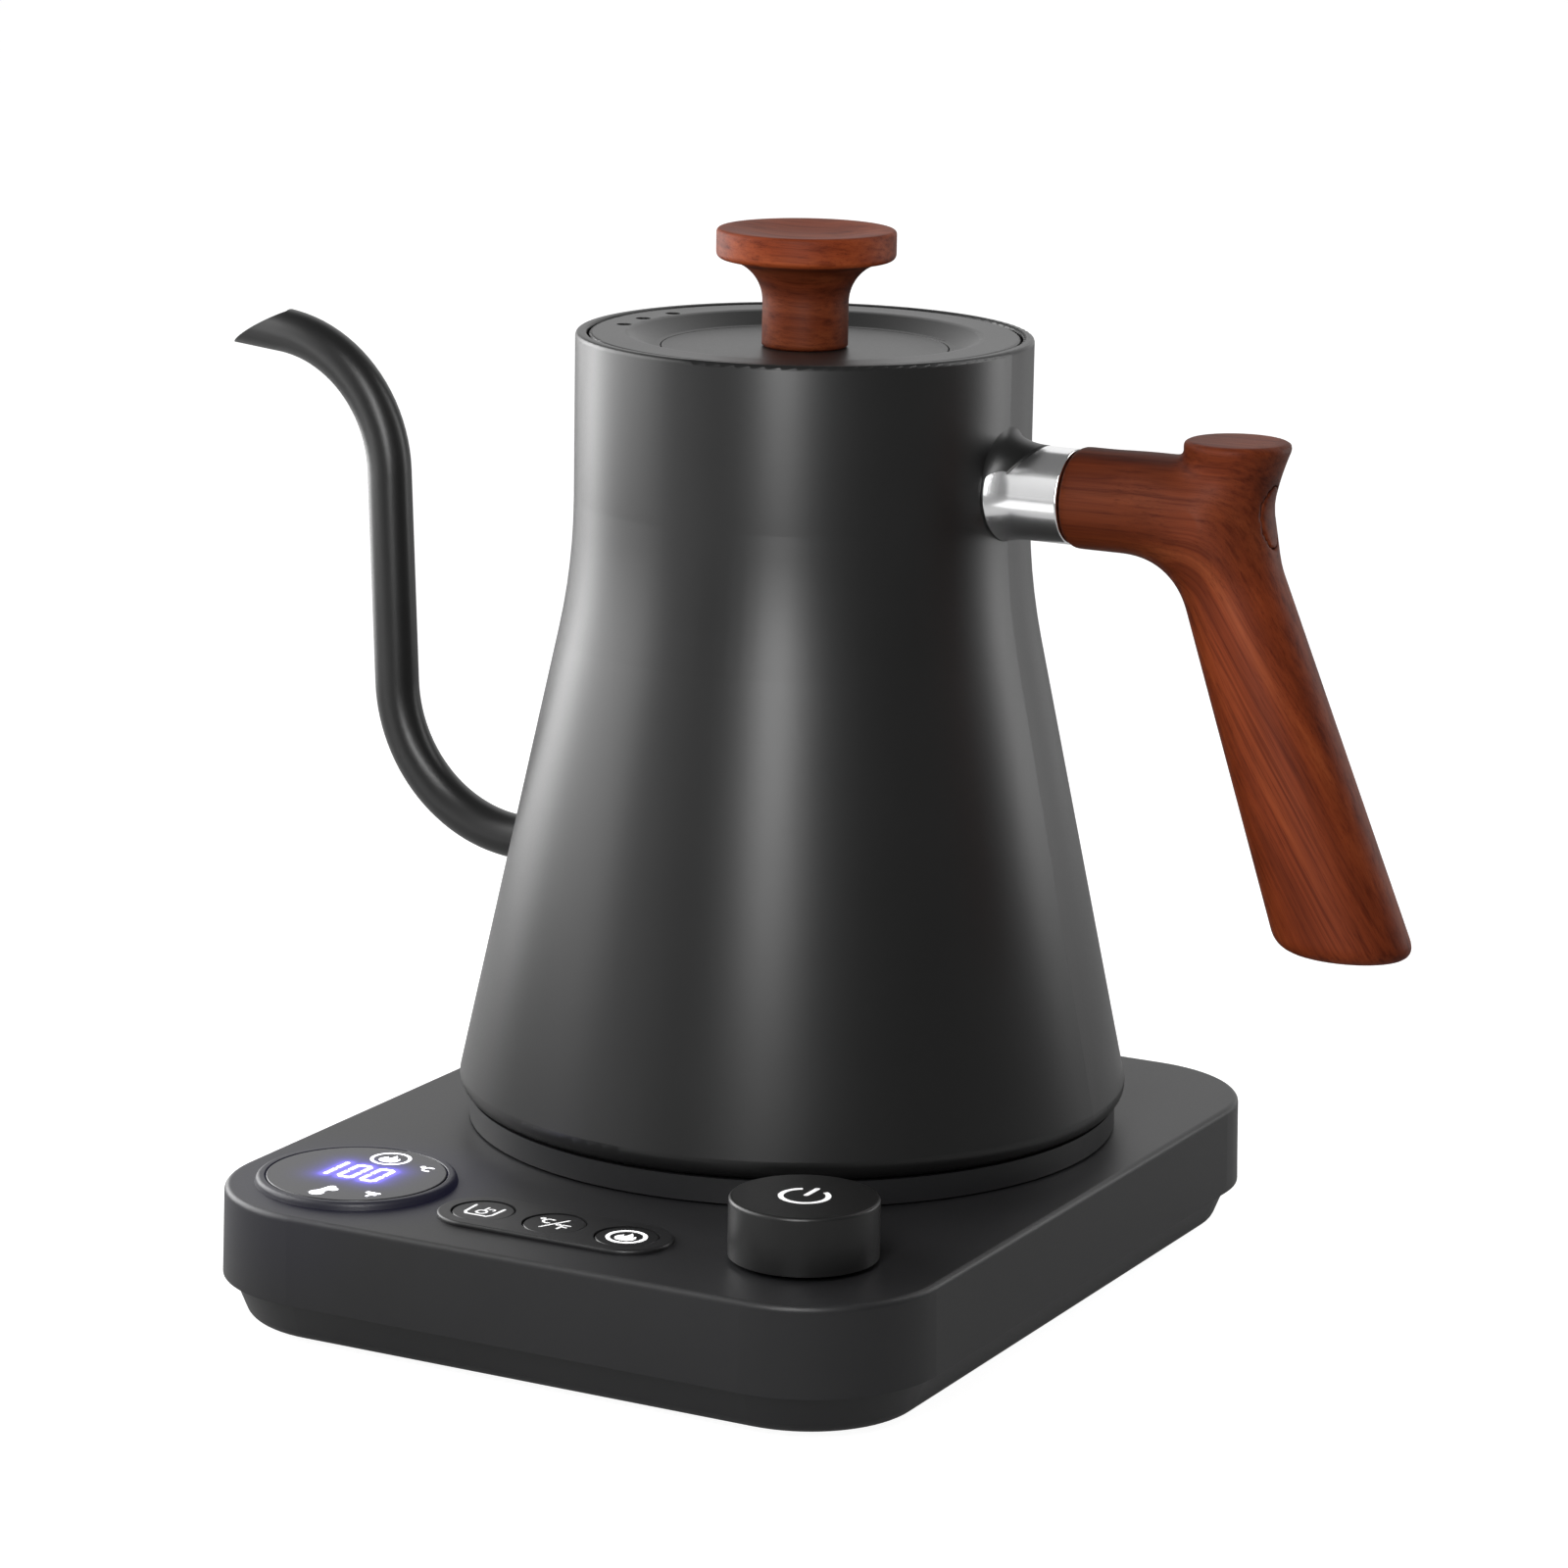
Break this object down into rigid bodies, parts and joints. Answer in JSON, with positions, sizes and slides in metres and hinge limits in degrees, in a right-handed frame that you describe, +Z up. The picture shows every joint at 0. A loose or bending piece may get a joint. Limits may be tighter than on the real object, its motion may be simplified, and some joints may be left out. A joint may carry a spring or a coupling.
{
  "type": "electric kettle",
  "caption": "Gooseneck electric kettle with a conical body, wooden handle and lid knob, lifting off a square base with a display, round buttons and a rotary knob.",
  "frame": {"origin": "centre of the object's footprint on the table, which is the centre of the control base", "axes": "+Z up, +X towards the handle, -X towards the spout, -Y towards the control panel"},
  "size_m": [0.2625, 0.1859, 0.2052],
  "materials": {
    "satin_black": "satin powder coat",
    "matte_black": "fine moulded texture",
    "bezel_black": "fine satin",
    "window_black": "smoked",
    "button_black": "satin",
    "walnut": "oiled, semi-gloss",
    "polished_steel": "mirror polish",
    "brushed_steel": "brushed",
    "aluminium": "as cast",
    "brass": "plated contacts",
    "rubber": "matte",
    "silicone": "matte",
    "board_green": "solder mask",
    "component_black": "moulded",
    "component_blue": "moulded",
    "component_white": "moulded"
  },
  "bodies": {
    "base": {"base_housing": "matte_black", "base_bottom_cover": "matte_black", "base_feet": "rubber", "base_screws": "brushed_steel", "connector_tower": "component_black", "tower_contacts": "brass", "display_bezel": "bezel_black", "display_window": "window_black", "display_module": "component_white", "button_panel": "bezel_black", "button_switches": "brushed_steel", "control_board": "board_green", "encoder_body": "component_black", "power_board": "board_green", "relay": "component_blue", "supply_transformer": "component_black", "filter_capacitor": "component_white", "buzzer": "component_black", "cord_gland": "rubber"},
    "kettle_socket": {"kettle_socket": "component_black", "socket_contacts": "brass"},
    "kettle": {"kettle_body": "satin_black", "gooseneck_spout": "satin_black", "heater_plate": "brushed_steel", "plate_studs": "brushed_steel", "heat_spreader": "aluminium", "heating_element": "brushed_steel", "temperature_sensor": "brushed_steel", "dry_boil_cutout": "component_black", "kettle_foot_ring": "matte_black", "bottom_screws": "brushed_steel", "handle_collar": "polished_steel", "handle_bracket": "brushed_steel", "handle_screw": "brushed_steel", "handle_grip": "walnut", "handle_plug": "walnut"},
    "lid": {"lid_cover": "satin_black", "lid_disc": "satin_black", "lid_skirt": "component_black", "lid_seal": "silicone", "lid_knob": "walnut", "lid_knob_screw": "brushed_steel"},
    "encoder_plunger": {"encoder_plunger": "component_white"},
    "knob": {"encoder_shaft": "aluminium", "control_knob": "satin_black"},
    "keep_warm_button": {"keep_warm_button": "button_black"},
    "unit_button": {"unit_button": "button_black"},
    "heat_button": {"heat_button": "button_black"}
  },
  "joints": [
    {"name": "kettle_lift", "type": "slide", "parent": "base", "child": "kettle_socket", "axis": [0, 0, 1], "range_m": [0, 0.12]},
    {"name": "kettle_turn", "type": "hinge", "parent": "kettle_socket", "child": "kettle", "pos_m": [0, 0.0184, 0.0272], "axis": [0, 0, 1], "continuous": true},
    {"name": "lid_lift", "type": "slide", "parent": "kettle", "child": "lid", "axis": [0, 0, 1], "range_m": [0, 0.05]},
    {"name": "knob_press", "type": "slide", "parent": "base", "child": "encoder_plunger", "axis": [0, 0, -1], "range_m": [0, 0.0005], "stiffness_N_per_m": 6000, "springref_m": -0.0002},
    {"name": "knob_turn", "type": "hinge", "parent": "encoder_plunger", "child": "knob", "pos_m": [0.0468, -0.0648, 0.0272], "axis": [0, 0, 1], "continuous": true},
    {"name": "keep_warm_press", "type": "slide", "parent": "base", "child": "keep_warm_button", "axis": [0, 0, -1], "range_m": [0, 0.0004], "stiffness_N_per_m": 4000, "springref_m": -0.0002},
    {"name": "unit_press", "type": "slide", "parent": "base", "child": "unit_button", "axis": [0, 0, -1], "range_m": [0, 0.0004], "stiffness_N_per_m": 4000, "springref_m": -0.0002},
    {"name": "heat_press", "type": "slide", "parent": "base", "child": "heat_button", "axis": [0, 0, -1], "range_m": [0, 0.0004], "stiffness_N_per_m": 4000, "springref_m": -0.0002}
  ]
}
